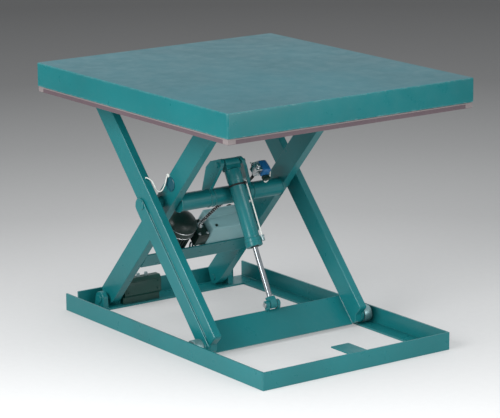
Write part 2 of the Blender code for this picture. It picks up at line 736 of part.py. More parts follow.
def leg_cable():
    """White cable from the near outer leg's top edge down into the crossing and up to the inner leg."""
    cos, sin = math.cos(LEG_ANGLE), math.sin(LEG_ANGLE)

    def on_outer(along, normal, y):
        return (CENTRE_X + along * cos + normal * sin, y, CENTRE_Z - along * sin + normal * cos)

    points = [on_outer(-0.085, 0.0725, -0.3660), on_outer(-0.079, 0.0765, -0.3610),
              on_outer(-0.064, 0.0768, -0.3490), (-0.1975, -0.3420, 0.6230), (-0.1950, -0.3370, 0.6080),
              (-0.1880, -0.3300, 0.5980), (-0.1790, -0.3210, 0.6010), (-0.1715, -0.3130, 0.6170),
              (-0.1665, -0.3070, 0.6390), (-0.1640, -0.3040, 0.6560), (-0.1640, -0.3010, 0.6630)]
    run = [on_outer(-0.085, 0.0688, -0.3660)] + smooth_run(points, 2) + [(-0.1640, -0.2961, 0.6635)]
    return pipe("leg_cable", None, run, 0.0028, "cable")


def hydraulic_hose(parent):
    """Hose from the pump block up beside the torque tube to the valve block."""
    points = [(0.4180, 0.0130, 0.0150), (0.4300, 0.0150, 0.0165), (0.5100, 0.0600, 0.0250),
              (0.5800, 0.1150, 0.0240), (0.6600, 0.1370, 0.0170), (0.7200, 0.1330, 0.0020),
              (0.7600, 0.1120, -0.0170), (0.7840, 0.1040, -0.0220)]
    run = [(0.4105, 0.0130, 0.0150)] + smooth_run(points, 4) + [(0.7935, 0.1040, -0.0220)]
    return pipe("hydraulic_hose", parent, run, 0.0065, "rubber")


def main():
    base = frame("base_frame_origin", 0.0, 0.0)
    inner = frame("inner_legs_origin", PIN_X, BASE_PIN_Z, -LEG_ANGLE)
    outer = frame("outer_legs_origin", CENTRE_X, CENTRE_Z, LEG_ANGLE)
    platform = frame("platform_origin", PIN_X, TOP_PIN_Z)
    guard = frame("toe_guard_origin", 0.0, DECK_TOP - SKIRT_DEPTH)
    cylinder = frame("cylinder_origin", TOP_EYE[0], TOP_EYE[1], CYLINDER_ANGLE)
    rod = frame("rod_origin", ROD_PIN[0], ROD_PIN[1], CYLINDER_ANGLE)
    build_base(base)
    build_inner(inner)
    motor(inner)
    hydraulic_hose(inner)
    build_outer(outer)
    build_cylinder(cylinder)
    build_rod(rod)
    build_platform(platform)
    toe_guard(guard)
    leg_cable()
    for name, side in (("left", -1), ("right", 1)):
        low, high = sorted((side * 0.4050, side * 0.4430))
        wheel = frame("base_roller_origin_" + name, ROLLER_X, BASE_PIN_Z)
        roller("base_roller_" + name, wheel, BASE_ROLLER_RADIUS, PIN_RADIUS + GAP, low, high)
        low, high = sorted((side * 0.3000, side * 0.3380))
        wheel = frame("deck_roller_origin_" + name, ROLLER_X, TOP_PIN_Z)
        roller("deck_roller_" + name, wheel, DECK_ROLLER_RADIUS, PIN_RADIUS - 0.002 + GAP, low, high)


main()
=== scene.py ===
"""Looks of the scissor lift table: procedural paint, metal and rubber on the CAD frame, with the
visible detail pieces, a pale floor, soft studio light and the camera."""

import json
import math

import bmesh
import bpy
from mathutils import Matrix, Vector


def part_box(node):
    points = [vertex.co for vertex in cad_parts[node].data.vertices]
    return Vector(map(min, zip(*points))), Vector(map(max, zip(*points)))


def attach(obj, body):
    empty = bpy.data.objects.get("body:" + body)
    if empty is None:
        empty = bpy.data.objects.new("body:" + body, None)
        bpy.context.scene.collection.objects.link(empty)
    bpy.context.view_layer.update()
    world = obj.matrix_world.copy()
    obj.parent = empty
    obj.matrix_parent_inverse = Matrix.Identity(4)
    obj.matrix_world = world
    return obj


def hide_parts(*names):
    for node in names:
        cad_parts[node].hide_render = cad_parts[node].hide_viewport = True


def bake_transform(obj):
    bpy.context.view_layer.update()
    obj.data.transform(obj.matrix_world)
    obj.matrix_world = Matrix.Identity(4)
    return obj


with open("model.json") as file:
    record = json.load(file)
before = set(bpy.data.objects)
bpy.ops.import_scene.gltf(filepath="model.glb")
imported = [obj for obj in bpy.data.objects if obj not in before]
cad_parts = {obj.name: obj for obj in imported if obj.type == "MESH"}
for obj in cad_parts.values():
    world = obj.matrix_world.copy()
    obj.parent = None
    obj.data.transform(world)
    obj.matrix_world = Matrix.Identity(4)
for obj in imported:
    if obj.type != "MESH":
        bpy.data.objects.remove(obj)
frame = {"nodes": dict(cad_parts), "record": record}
NODES = frame["nodes"]
JOINTS = {joint["name"]: joint for joint in frame["record"]["behaviour"]["joints"]}
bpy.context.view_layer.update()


def joint_point(name):
    return Vector(JOINTS[name]["pos_m"])


BASE_PIN = joint_point("lift_hinge")
CENTRE = joint_point("scissor_hinge")
PLATFORM_PIN = joint_point("platform_hinge")
TOP_EYE = joint_point("cylinder_hinge")
RAM_AXIS = Vector(JOINTS["ram_slide"]["axis"]).normalized()
ROD_PIN = (Vector(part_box("rod_pin")[0]) + Vector(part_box("rod_pin")[1])) / 2
CYLINDER_LENGTH = (ROD_PIN - TOP_EYE).length
ANGLE = math.atan2(CENTRE.z - BASE_PIN.z, CENTRE.x - BASE_PIN.x)
TINY_RADIUS = 1e-6
SHARP_ANGLE = math.radians(38)


def placement(origin, direction):
    """Matrix of a local frame: X along direction in the XZ plane, Y across the table."""
    x = Vector(direction).normalized()
    y = Vector((0, 1, 0))
    z = x.cross(y)
    rows = Matrix((x, y, z)).transposed().to_4x4()
    return Matrix.Translation(Vector((origin[0], 0.0, origin[2]))) @ rows


# Local frames: x runs along the legs or the cylinder, y across the table, z square to both.
INNER = placement(BASE_PIN, CENTRE - BASE_PIN)
OUTER = placement(CENTRE, CENTRE - PLATFORM_PIN)
CYLINDER = placement(TOP_EYE, RAM_AXIS)
WORLD = Matrix.Identity(4)


# ---------------------------------------------------------------- materials

def rgb(red, green, blue):
    """Linear colour from display values of 0 to 255."""
    def linear(value):
        value /= 255
        return value / 12.92 if value <= 0.04045 else ((value + 0.055) / 1.055) ** 2.4
    return (linear(red), linear(green), linear(blue), 1.0)


class Graph:
    """A material's node tree with short calls for the nodes used here."""

    def __init__(self, name):
        self.material = bpy.data.materials.new(name)
        self.material.use_nodes = True
        self.tree = self.material.node_tree
        self.shader = self.tree.nodes["Principled BSDF"]
        self.place = self.tree.nodes.new("ShaderNodeTexCoord").outputs["Object"]

    def link(self, output, target):
        self.tree.links.new(output, target)

    def feed(self, sockets, values):
        """Links each value that is a node's output to its socket, and writes the others there."""
        for socket, value in zip(sockets, values):
            if isinstance(value, bpy.types.NodeSocket):
                self.link(value, socket)
            else:
                socket.default_value = value

    def noise(self, scale, detail=4.0, stretch=None, distortion=0.0):
        made = self.tree.nodes.new("ShaderNodeTexNoise")
        made.inputs["Scale"].default_value = scale
        made.inputs["Detail"].default_value = detail
        made.inputs["Distortion"].default_value = distortion
        source = self.place
        if stretch:
            mapping = self.tree.nodes.new("ShaderNodeMapping")
            mapping.inputs["Scale"].default_value = stretch
            self.link(source, mapping.inputs["Vector"])
            source = mapping.outputs["Vector"]
        self.link(source, made.inputs["Vector"])
        return made.outputs["Fac"]

    def ramp(self, factor, stops):
        made = self.tree.nodes.new("ShaderNodeValToRGB")
        elements = made.color_ramp.elements
        while len(elements) < len(stops):
            elements.new(0.5)
        for element, (position, colour) in zip(elements, stops):
            element.position = position
            element.color = colour
        self.link(factor, made.inputs["Fac"])
        return made.outputs["Color"]

    def spread(self, factor, low, high, start=0.3, stop=0.7):
        made = self.tree.nodes.new("ShaderNodeMapRange")
        made.inputs["From Min"].default_value = start
        made.inputs["From Max"].default_value = stop
        made.inputs["To Min"].default_value = low
        made.inputs["To Max"].default_value = high
        self.link(factor, made.inputs["Value"])
        return made.outputs["Result"]

    def mix(self, factor, first, second, blend="MIX"):
        made = self.tree.nodes.new("ShaderNodeMix")
        made.data_type = "RGBA"
        made.blend_type = blend
        made.clamp_factor = True
        self.feed((made.inputs[0], made.inputs[6], made.inputs[7]), (factor, first, second))
        return made.outputs[2]

    def maths(self, operation, first, second):
        made = self.tree.nodes.new("ShaderNodeMath")
        made.operation = operation
        self.feed(made.inputs, (first, second))
        return made.outputs["Value"]

    def edges(self, radius):
        """1 along sharp edges, 0 on flat faces."""
        bevel = self.tree.nodes.new("ShaderNodeBevel")
        bevel.samples = 4
        bevel.inputs["Radius"].default_value = radius
        geometry = self.tree.nodes.new("ShaderNodeNewGeometry")
        dot = self.tree.nodes.new("ShaderNodeVectorMath")
        dot.operation = "DOT_PRODUCT"
        self.link(bevel.outputs["Normal"], dot.inputs[0])
        self.link(geometry.outputs["Normal"], dot.inputs[1])
        return self.spread(dot.outputs["Value"], 1.0, 0.0, 0.80, 0.995)

    def bump(self, height, strength, distance):
        made = self.tree.nodes.new("ShaderNodeBump")
        made.inputs["Strength"].default_value = strength
        made.inputs["Distance"].default_value = distance
        self.link(height, made.inputs["Height"])
        self.link(made.outputs["Normal"], self.shader.inputs["Normal"])

    def set(self, socket, value):
        self.shader.inputs[socket].default_value = value


def shade(colour, factor):
    """The colour made lighter or darker by a factor."""
    return tuple(min(1.0, channel * factor) for channel in colour[:3]) + (1.0,)


def faded(colour, share, grey):
    """A share of the colour with plain grey for the rest."""
    return tuple(share * channel + (1.0 - share) * grey for channel in colour[:3]) + (1.0,)


def paint(name, colour, rough=(0.26, 0.38), edge_highlight=0.30, dust=0.04, edge_width=0.0022):
    """Sprayed enamel: orange peel, slow tone changes, dust in patches and a patchy painted highlight along
    the edges.
    """
    graph = Graph(name)
    slow = graph.noise(2.3, 3.0)
    body = graph.ramp(slow, [(0.30, shade(colour, 0.88)), (0.52, colour), (0.74, shade(colour, 1.12))])
    fine = graph.noise(38.0, 6.0, distortion=0.4)
    body = graph.mix(graph.spread(fine, 0.0, dust, 0.52, 0.80), body, faded(colour, 0.55, 0.42))
    # paler paint in patches along the edges: a painted highlight where the edges catch the light
    patch = graph.spread(graph.noise(60.0, 5.0), 0.0, edge_highlight, 0.40, 0.70)
    edge = graph.maths("MULTIPLY", graph.edges(edge_width), patch)
    body = graph.mix(edge, body, faded(colour, 0.6, 0.5))
    graph.link(body, graph.shader.inputs["Base Color"])
    graph.link(graph.spread(graph.noise(17.0, 5.0), *rough), graph.shader.inputs["Roughness"])
    graph.bump(graph.noise(420.0, 2.0), 0.10, 0.0006)
    graph.set("Specular IOR Level", 0.36)
    graph.set("Coat Weight", 0.10)
    graph.set("Coat Roughness", 0.14)
    return graph.material


def metal(name, colour, rough=(0.18, 0.34), grain=(1.0, 1.0, 1.0), strength=0.08, metallic=1.0):
    """Machined or plated steel with fine turning marks and faint stains."""
    graph = Graph(name)
    marks = graph.noise(90.0, 6.0, stretch=grain)
    tone = graph.ramp(graph.noise(14.0, 5.0),
                      [(0.3, shade(colour, 0.78)), (0.6, colour), (0.8, shade(colour, 1.15))])
    graph.link(tone, graph.shader.inputs["Base Color"])
    graph.link(graph.spread(marks, *rough), graph.shader.inputs["Roughness"])
    graph.bump(marks, strength, 0.0004)
    graph.set("Metallic", metallic)
    return graph.material


def moulded(name, colour, rough, strength=0.15, dust=0.08):
    """Moulded plastic, rubber or cast enamel with a fine grain and a little dust."""
    graph = Graph(name)
    tone = graph.ramp(graph.noise(9.0, 4.0), [(0.3, shade(colour, 0.82)), (0.7, shade(colour, 1.2))])
    patches = graph.spread(graph.noise(45.0, 6.0), 0.0, dust, 0.5, 0.8)
    tone = graph.mix(patches, tone, (0.35, 0.36, 0.36, 1.0))
    graph.link(tone, graph.shader.inputs["Base Color"])
    graph.link(graph.spread(graph.noise(30.0, 4.0), *rough), graph.shader.inputs["Roughness"])
    graph.bump(graph.noise(260.0, 3.0), strength, 0.0005)
    return graph.material


GREEN = rgb(20, 114, 118)
PAINTED = paint("enamel_green", GREEN, edge_highlight=0.45)
# the shell's enamel takes a wider and stronger painted highlight along its rounded corners and top edge
SHELL_PAINT = paint("enamel_shell", GREEN, edge_highlight=1.0, edge_width=0.010)
# a darker copy of the green enamel for the deck's top face: painted shade
DECK_SHADED_PAINT = paint("enamel_deck_painted_shade", rgb(10, 92, 102), rough=(0.36, 0.46), dust=0.03)
TANK = paint("enamel_tank", rgb(140, 182, 186), rough=(0.32, 0.44))
GUARD = paint("guard_coating", rgb(100, 84, 90), rough=(0.38, 0.52), dust=0.10)
# pale colour for the corner caps, and for the painted highlight band along the guard's top edge
GUARD_CAP_AND_HIGHLIGHT = paint("guard_corner", rgb(140, 130, 130), rough=(0.38, 0.5))
STEEL = metal("plated_steel", (0.62, 0.64, 0.65, 1.0))
ROLLER = metal("roller_steel", rgb(150, 182, 184), rough=(0.30, 0.46), metallic=0.75)
CHROME = metal("hard_chrome", (0.40, 0.43, 0.45, 1.0), rough=(0.05, 0.12), grain=(1.0, 1.0, 60.0),
               strength=0.03)
BLACK = moulded("black_enamel", rgb(10, 38, 32), rough=(0.3, 0.45), dust=0.03)
BOX_BLACK = moulded("enclosure_black", rgb(6, 62, 54), rough=(0.4, 0.55), dust=0.02)
BLUE = moulded("coil_blue", rgb(22, 96, 150), rough=(0.3, 0.42))
WHITE = moulded("cable_white", rgb(226, 226, 220), rough=(0.4, 0.5), dust=0.14)
RUBBER = moulded("hose_rubber", rgb(24, 25, 25), rough=(0.5, 0.66), strength=0.25)
GROMMET = paint("enamel_cap", rgb(14, 84, 98), rough=(0.3, 0.4))
BLOCK = metal("valve_steel", rgb(150, 170, 172), rough=(0.28, 0.42), metallic=0.6)

SLOTS = {
    "green_paint": PAINTED, "tank_paint": TANK, "bare_steel": STEEL, "chrome_rod": CHROME,
    "roller_steel": ROLLER, "black_castings": BLACK, "black_plastic": BOX_BLACK, "blue_plastic": BLUE,
    "grey_guard": GUARD, "white_cable": WHITE, "black_rubber": RUBBER,
}


def paint_nodes():
    """Gives each CAD node the look of its material slot."""
    for part in frame["record"]["subparts"]:
        obj = NODES[part["node"]]
        obj.data.materials.clear()
        obj.data.materials.append(SLOTS[part["material_slot"]])


# ---------------------------------------------------------------- shape helpers

def piece(name, mesh, place, body, look):
    """Makes a visible piece from a mesh in a local frame and lets it ride on a body."""
    mesh.transform(place)
    obj = bpy.data.objects.new(name, mesh)
    bpy.context.scene.collection.objects.link(obj)
    mesh.materials.append(look)
    mesh.shade_smooth()
    mesh.set_sharp_from_angle(angle=SHARP_ANGLE)
    if body:
        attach(obj, body)
    return obj


def from_bmesh(bm):
    mesh = bpy.data.meshes.new("mesh")
    bmesh.ops.recalc_face_normals(bm, faces=bm.faces)
    bm.to_mesh(mesh)
    bm.free()
    return mesh


AXES = {
    "X": Matrix(((0, 0, 1, 0), (1, 0, 0, 0), (0, 1, 0, 0), (0, 0, 0, 1))),
    "Y": Matrix(((0, 1, 0, 0), (0, 0, 1, 0), (1, 0, 0, 0), (0, 0, 0, 1))),
    "Z": Matrix.Identity(4),
}


def lathe_bmesh(bm, profile, centre=(0, 0, 0), axis="Y", sides=48, closed=False):
    """Adds a turned body to bm; profile is (radius, height) pairs along the axis."""
    turn = Matrix.Translation(Vector(centre)) @ AXES[axis]
    rings = []
    for radius, height in profile:
        if radius < TINY_RADIUS:
            rings.append([bm.verts.new(turn @ Vector((0, 0, height)))])
            continue
        ring = []
        for i in range(sides):
            angle = 2 * math.pi * i / sides
            corner = Vector((radius * math.cos(angle), radius * math.sin(angle), height))
            ring.append(bm.verts.new(turn @ corner))
        rings.append(ring)
    pairs = list(zip(rings, rings[1:]))
    if closed:
        pairs.append((rings[-1], rings[0]))
    for first, second in pairs:
        for i in range(sides):
            j = (i + 1) % sides
            loop = [first[i % len(first)], first[j % len(first)],
                    second[j % len(second)], second[i % len(second)]]
            unique = list(dict.fromkeys(loop))
            if len(unique) > 2:
                bm.faces.new(unique)


def lathe(name, profile, place, body, look, centre=(0, 0, 0), axis="Y", sides=48, closed=False):
    bm = bmesh.new()
    lathe_bmesh(bm, profile, centre, axis, sides, closed)
    return piece(name, from_bmesh(bm), place, body, look)


def slab_bmesh(bm, low, high, edge=0.0, segments=2):
    """Adds a box with rounded edges to bm."""
    part = bmesh.new()
    bmesh.ops.create_cube(part, size=1.0)
    bmesh.ops.scale(part, vec=[b - a for a, b in zip(low, high)], verts=part.verts)
    bmesh.ops.translate(part, vec=[(a + b) / 2 for a, b in zip(low, high)], verts=part.verts)
    if edge:
        bmesh.ops.bevel(part, geom=list(part.edges), offset=edge, segments=segments,
                        affect="EDGES", profile=0.5)
    mesh = bpy.data.meshes.new("slab")
    part.to_mesh(mesh)
    part.free()
    bm.from_mesh(mesh)
    bpy.data.meshes.remove(mesh)


def slab(name, low, high, edge, place, body, look, segments=4):
    bm = bmesh.new()
    slab_bmesh(bm, low, high, edge, segments)
    return piece(name, from_bmesh(bm), place, body, look)


def smooth_run(points, steps):
    """A smooth curve through the points, with a number of steps between each two."""
    ends = [points[0]] + list(points) + [points[-1]]
    run = []
    for a, b, c, d in zip(ends, ends[1:], ends[2:], ends[3:]):
        for i in range(steps):
            t = i / steps
            run.append(tuple(
                0.5 * (2 * q + (r - p) * t + (2 * p - 5 * q + 4 * r - s) * t ** 2
                       + (3 * q - p - 3 * r + s) * t ** 3)
                for p, q, r, s in zip(a, b, c, d)))
    run.append(tuple(points[-1]))
    return run


def tube_bmesh(bm, run, radius, sides=12):
    """Adds a tube along run; radius is one number or one per point."""
    points = [Vector(p) for p in run]
    radii = radius if isinstance(radius, (list, tuple)) else [radius] * len(points)
    normal = None
    rings = []
    for i, point in enumerate(points):
        ahead = points[min(i + 1, len(points) - 1)] - points[max(i - 1, 0)]
        ahead.normalize()
        if normal is None:
            normal = ahead.orthogonal().normalized()
        normal = (normal - ahead * normal.dot(ahead)).normalized()
        side = ahead.cross(normal)
        ring = []
        for k in range(sides):
            angle = 2 * math.pi * k / sides
            spoke = normal * math.cos(angle) + side * math.sin(angle)
            ring.append(bm.verts.new(point + radii[i] * spoke))
        rings.append(ring)
    for first, second in zip(rings, rings[1:]):
        for k in range(sides):
            m = (k + 1) % sides
            bm.faces.new((first[k], first[m], second[m], second[k]))
    bm.faces.new(rings[0][::-1])
    bm.faces.new(rings[-1])


def tube(name, run, radius, place, body, look, sides=12):
    bm = bmesh.new()
    tube_bmesh(bm, run, radius, sides)
    return piece(name, from_bmesh(bm), place, body, look)


BEAD_DIP = 0.82
BEAD_END = 0.55


def bead_bmesh(bm, start, end, radius=0.0024, pitch=0.0035):
    """Adds a rippled weld bead between two points."""
    start, end = Vector(start), Vector(end)
    count = max(4, int((end - start).length / pitch) * 2)
    run = [start.lerp(end, i / count) for i in range(count + 1)]
    radii = [radius * (BEAD_END if i in (0, count) else (1.0 if i % 2 else BEAD_DIP))
             for i in range(count + 1)]
    tube_bmesh(bm, run, radii, 6)


def ring_bead_bmesh(bm, centre, radius, y, bead=0.0026, count=72):
    """Adds a weld bead round a tube whose axis runs across the table."""
    run = []
    radii = []
    for i in range(count + 1):
        angle = 2 * math.pi * i / count
        run.append((centre[0] + radius * math.cos(angle), y, centre[2] + radius * math.sin(angle)))
        radii.append(bead * (1.0 if i % 2 else BEAD_DIP))
    tube_bmesh(bm, run, radii, 6)


def hex_bmesh(bm, centre, across, height, axis):
    """Adds a hexagon head with a chamfered top and a washer under it."""
    radius = across / math.sqrt(3)
    lathe_bmesh(bm, [(0, 0), (radius * 1.28, 0), (radius * 1.28, height * 0.22), (0, height * 0.22)],
                centre, axis, 20)
    lathe_bmesh(bm, [(0, height * 0.2), (radius, height * 0.2), (radius, height * 0.85),
                     (radius * 0.86, height), (0, height)], centre, axis, 6)


# ---------------------------------------------------------------- platform

def platform_shell():
    """Deck and skirts as one folded sheet with rounded corners and top edge."""
    low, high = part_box("deck_plate")
    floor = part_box("skirt_left")[0][2]
    top = high[2]
    wall = 0.005
    corner, inner_corner = 0.009, 0.0004
    corner_steps, fold_steps = 6, 5
    fold, lower_edge = 0.0045, 0.0006

    def ring(bm, inset, z, radius):
        """One loop of points round the deck, with rounded corners."""
        points = []
        corners = ((high[0], high[1], 0), (low[0], high[1], 90),
                   (low[0], low[1], 180), (high[0], low[1], 270))
        for x, y, start in corners:
            sx = -1 if x > 0 else 1
            sy = -1 if y > 0 else 1
            cx = x + sx * (inset + radius)
            cy = y + sy * (inset + radius)
            for k in range(corner_steps + 1):
                angle = math.radians(start + 90 * k / corner_steps)
                points.append(bm.verts.new(
                    (cx + radius * math.cos(angle), cy + radius * math.sin(angle), z)))
        return points

    bm = bmesh.new()
    rings = [ring(bm, wall, floor, inner_corner), ring(bm, lower_edge, floor, corner),
             ring(bm, 0.0, floor + lower_edge, corner)]
    for k in range(fold_steps + 1):
        angle = math.radians(90 * k / fold_steps)
        rings.append(ring(bm, fold * (1 - math.cos(angle)), top - fold + fold * math.sin(angle), corner))
    for first, second in zip(rings, rings[1:]):
        for i in range(len(first)):
            j = (i + 1) % len(first)
            bm.faces.new((first[i], first[j], second[j], second[i]))
    bm.faces.new(rings[-1])
    inner_top = ring(bm, wall, top - wall, inner_corner)
    inner = rings[0]
    for i in range(len(inner)):
        j = (i + 1) % len(inner)
        bm.faces.new((inner[j], inner[i], inner_top[i], inner_top[j]))
    bm.faces.new(inner_top[::-1])
    mesh = from_bmesh(bm)
    shell = piece("platform_shell", mesh, WORLD, "platform", SHELL_PAINT)
    mesh.materials.append(DECK_SHADED_PAINT)
    # the deck's top face takes a darker, duller copy of the green enamel: painted shade that tones down the
    # light it catches
    for face in mesh.polygons:
        if face.normal.z > 0.9 and face.center.z > top - 0.002:
            face.material_index = 1
    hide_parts("deck_plate", "skirt_left", "skirt_right", "skirt_rear", "skirt_front")


def platform_detail():
    """Ribs under the deck, and stitch welds along the roller tracks and the pivot beam."""
    low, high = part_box("deck_plate")
    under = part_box("roller_track_left")[1][2]
    bm = bmesh.new()
    half, depth, inner = 0.003, 0.034, 0.3875
    for share in (0.25, 0.5, 0.75):
        x = low[0] + share * (high[0] - low[0])
        for y0, y1 in ((low[1] + 0.012, -inner), (inner, high[1] - 0.012)):
            slab_bmesh(bm, (x - half, y0, under - depth), (x + half, y1, under), 0.0006, 1)
    piece("deck_ribs", from_bmesh(bm), WORLD, "platform", PAINTED)
    bm = bmesh.new()
    stitches, stitch = 5, 0.05
    z = under - 0.0005
    for end in ("left", "right"):
        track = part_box("roller_track_" + end)
        for y in (track[0][1], track[1][1]):
            for k in range(stitches):
                x = track[0][0] + 0.03 + k * 0.11
                bead_bmesh(bm, (x, y, z), (x + stitch, y, z))
    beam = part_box("pivot_beam")
    for x in (beam[0][0], beam[1][0]):
        for k in range(stitches):
            y = -0.30 + k * 0.14
            bead_bmesh(bm, (x, y, z), (x, y + stitch, z))
    piece("platform_welds", from_bmesh(bm), WORLD, "platform", PAINTED)


def guard_detail():
    """Corner caps of the toe guard, and a pale band near its top edge that is a painted highlight."""
    low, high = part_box("toe_guard")
    bm = bmesh.new()
    thick = 0.0008
    gap = 0.0001
    edge = 0.0005
    reach = 0.034
    base = low[2] + 0.0012
    top = low[2] + 0.0225
    for x, sx in ((low[0], 1), (high[0], -1)):
        for y, sy in ((low[1], 1), (high[1], -1)):
            xs = sorted((x - sx * thick, x + sx * reach))
            ys = sorted((y - sy * thick, y - sy * gap))
            slab_bmesh(bm, (xs[0], ys[0], base), (xs[1], ys[1], top), edge, 1)
            xs = sorted((x - sx * thick, x - sx * gap))
            ys = sorted((y - sy * thick, y + sy * reach))
            slab_bmesh(bm, (xs[0], ys[0], base), (xs[1], ys[1], top), edge, 1)
    piece("guard_corner_caps", from_bmesh(bm), WORLD, "guard_frame", GUARD_CAP_AND_HIGHLIGHT)
    # a pale band round the guard just under its top edge: a painted highlight
    bm = bmesh.new()
    band_low, band_high = low[2] + 0.0170, low[2] + 0.0215
    left, right = low[0] + reach, high[0] - reach
    near, far = low[1] + reach, high[1] - reach
    for (x0, x1), (y0, y1) in (((left, right), (low[1] - thick, low[1] - gap)),
                               ((left, right), (high[1] + gap, high[1] + thick)),
                               ((high[0] + gap, high[0] + thick), (near, far)),
                               ((low[0] - thick, low[0] - gap), (near, far))):
        slab_bmesh(bm, (x0, y0, band_low), (x1, y1, band_high), 0.0003, 1)
    piece("guard_highlight_bands", from_bmesh(bm), WORLD, "guard_frame", GUARD_CAP_AND_HIGHLIGHT)


# ---------------------------------------------------------------- base frame

def base_detail():
    """Weld beads on the base, and the lid and glands of the control box."""
    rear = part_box("base_rail_rear")
    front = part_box("base_rail_front")
    bm = bmesh.new()
    flange = 0.0078
    rail_in = 0.4535
    for sign in (-1, 1):
        y = sign * rail_in
        bead_bmesh(bm, (rear[0][0] + 0.012, y, flange), (rear[1][0], y, flange))
        flange_in, flange_out = sign * 0.386, sign * 0.450
        bead_bmesh(bm, (rear[1][0], flange_in, flange), (rear[1][0], flange_out, flange), 0.002)
        x = front[0][0] - 0.0006
        bead_bmesh(bm, (x, sign * 0.4530, 0.010), (x, sign * 0.4530, 0.070))
        bead_bmesh(bm, (x, flange_in, flange), (x, flange_out, flange))
        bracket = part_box("base_pivot_bracket_right" if sign > 0 else "base_pivot_bracket_left")
        z = flange + 0.0006
        for y in (bracket[0][1], bracket[1][1]):
            bead_bmesh(bm, (bracket[0][0], y, z), (bracket[1][0], y, z), 0.0028)
        for x in (bracket[0][0], bracket[1][0]):
            bead_bmesh(bm, (x, bracket[0][1], z), (x, bracket[1][1], z), 0.0028)
    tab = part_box("base_front_tab")
    x, z = tab[1][0], tab[0][2] - 0.0005
    bead_bmesh(bm, (x, tab[0][1], z), (x, tab[1][1], z), 0.0022)
    piece("base_welds", from_bmesh(bm), WORLD, "base_frame", PAINTED)
    low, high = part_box("control_box")
    bm = bmesh.new()
    slab_bmesh(bm, (high[0] - 0.0004, low[1] + 0.008, high[2] - 0.066),
               (high[0] + 0.0024, high[1] - 0.008, high[2] - 0.016), 0.0012, 2)
    screw = [(0.0, 0.0), (0.0042, 0.0), (0.0042, 0.0016), (0.003, 0.0026), (0.0, 0.0026)]
    for y in (low[1] + 0.018, high[1] - 0.018):
        for z in (high[2] - 0.058, high[2] - 0.024):
            lathe_bmesh(bm, screw, (high[0] + 0.0024, y, z), "X", 20)
    piece("control_box_lid", from_bmesh(bm), WORLD, "base_frame", BOX_BLACK)
    bm = bmesh.new()
    middle = (low[0] + high[0]) / 2
    gland = [(0.0, 0.0), (0.0095, 0.0), (0.0095, 0.006), (0.0075, 0.007), (0.0075, 0.013),
             (0.0048, 0.016), (0.0, 0.016)]
    for y in (low[1] + 0.045, low[1] + 0.085, low[1] + 0.125):
        lathe_bmesh(bm, gland, (middle, y, high[2] - 0.0008), "Z", 24)
    piece("control_box_glands", from_bmesh(bm), WORLD, "base_frame", BLOCK)


# ---------------------------------------------------------------- rollers and pins

def wheel(name, node, body):
    """A roller with a raised hub, a recessed web and chamfered rims."""
    low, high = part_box(node)
    centre = [(a + b) / 2 for a, b in zip(low, high)]
    half = (high[1] - low[1]) / 2
    radius = (high[2] - low[2]) / 2
    base_bore, deck_bore, between = 0.0125, 0.0105, 0.03
    bore = base_bore if radius > between else deck_bore
    recess = 0.0012
    # one half of the section, mirrored for the other
    profile = [(bore, -half), (radius * 0.52, -half), (radius * 0.56, -half + recess),
               (radius * 0.82, -half + recess), (radius * 0.86, -half), (radius - 0.0025, -half),
               (radius - 0.0006, -half + 0.001), (radius, -half + 0.003)]
    profile += [(r, -y) for r, y in reversed(profile)]
    made = lathe(name, profile, WORLD, body, ROLLER, centre=centre, sides=64,
                 closed=True)
    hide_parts(node)


def outer_round_parts():
    """Smooth base roller axles, centre pins and base pivot pins."""
    def pin(node, profile, sign, body, place, sides):
        mirrored = [(radius, sign * y) for radius, y in profile]
        made = lathe(node + "_smooth", mirrored, WORLD, body, PAINTED,
                     centre=(place.x, 0, place.z), sides=sides)
        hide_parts(node)

    for sign, end in ((-1, "left"), (1, "right")):
        node = "base_roller_axle_" + end
        low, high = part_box(node)
        profile = [(0.0, 0.3909), (0.033, 0.3909), (0.033, 0.4015), (0.0312, 0.4038), (0.0165, 0.4038),
                   (0.0165, 0.4046), (0.012, 0.4046), (0.012, 0.4442), (0.016, 0.4442), (0.016, 0.4466),
                   (0.0148, 0.4474), (0.0, 0.4474)]
        pin(node, profile, sign, "outer_legs", (Vector(low) + Vector(high)) / 2, 56)
        node = "centre_pin_" + end
        profile = [(0.0, 0.2569), (0.0128, 0.2569), (0.0138, 0.2585), (0.0138, 0.2960), (0.0238, 0.2960),
                   (0.0238, 0.3473), (0.0138, 0.3473), (0.0138, 0.3910), (0.0185, 0.3910), (0.0188, 0.3918),
                   (0.0188, 0.3934), (0.0176, 0.3945), (0.006, 0.3945), (0.0052, 0.3932), (0.0, 0.3932)]
        pin(node, profile, sign, "outer_legs", CENTRE, 48)
        node = "base_pivot_pin_" + end
        profile = [(0.0, 0.2530), (0.0112, 0.2530), (0.0119, 0.2540), (0.0119, 0.3366), (0.0178, 0.3366),
                   (0.0178, 0.3402), (0.0164, 0.3413), (0.0, 0.3413)]
        pin(node, profile, sign, "base_frame", BASE_PIN, 48)


